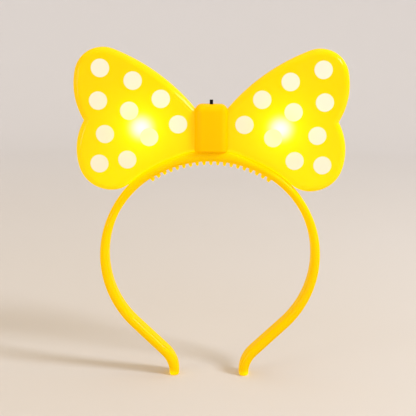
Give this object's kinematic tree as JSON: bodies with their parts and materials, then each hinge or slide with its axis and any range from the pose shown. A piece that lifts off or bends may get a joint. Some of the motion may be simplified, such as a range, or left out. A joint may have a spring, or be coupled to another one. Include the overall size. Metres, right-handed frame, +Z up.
{
  "type": "light-up bow headband",
  "caption": "Slim plastic headband with comb teeth under the crown and a hollow polka-dot bow on top, lit from inside by a lamp in each wing and switched by a slide in the bow's knot.",
  "frame": {"origin": "on the table, midway between the two tips that the band stands on", "axes": "+Z up towards the bow, -Y to the bow's dotted front, +X to the right as seen from the front"},
  "size_m": [0.1644, 0.0176, 0.203],
  "materials": {
    "band_yellow": "moulded, glossy",
    "wing_yellow": "translucent, moulded, satin gloss",
    "knot_amber": "moulded, satin gloss",
    "switch_black": "fine matt",
    "lamp_clear": "clear resin, lit",
    "dot_cream": "flat printed foil"
  },
  "bodies": {
    "headband": {"headband": "band_yellow", "knot": "knot_amber", "wing_left_front": "wing_yellow", "wing_left_back": "wing_yellow", "led_left": "lamp_clear", "wing_right_front": "wing_yellow", "wing_right_back": "wing_yellow", "led_right": "lamp_clear", "dot_left_01": "dot_cream", "dot_left_02": "dot_cream", "dot_left_03": "dot_cream", "dot_left_04": "dot_cream", "dot_left_05": "dot_cream", "dot_left_06": "dot_cream", "dot_left_07": "dot_cream", "dot_left_08": "dot_cream", "dot_left_09": "dot_cream", "dot_left_10": "dot_cream", "dot_right_01": "dot_cream", "dot_right_02": "dot_cream", "dot_right_03": "dot_cream", "dot_right_04": "dot_cream", "dot_right_05": "dot_cream", "dot_right_06": "dot_cream", "dot_right_07": "dot_cream", "dot_right_08": "dot_cream", "dot_right_09": "dot_cream", "dot_right_10": "dot_cream"},
    "switch": {"switch_nub": "switch_black"}
  },
  "joints": [
    {"name": "switch_slide", "type": "slide", "parent": "headband", "child": "switch", "axis": [0, -1, 0], "range_m": [0, 0.002]}
  ]
}
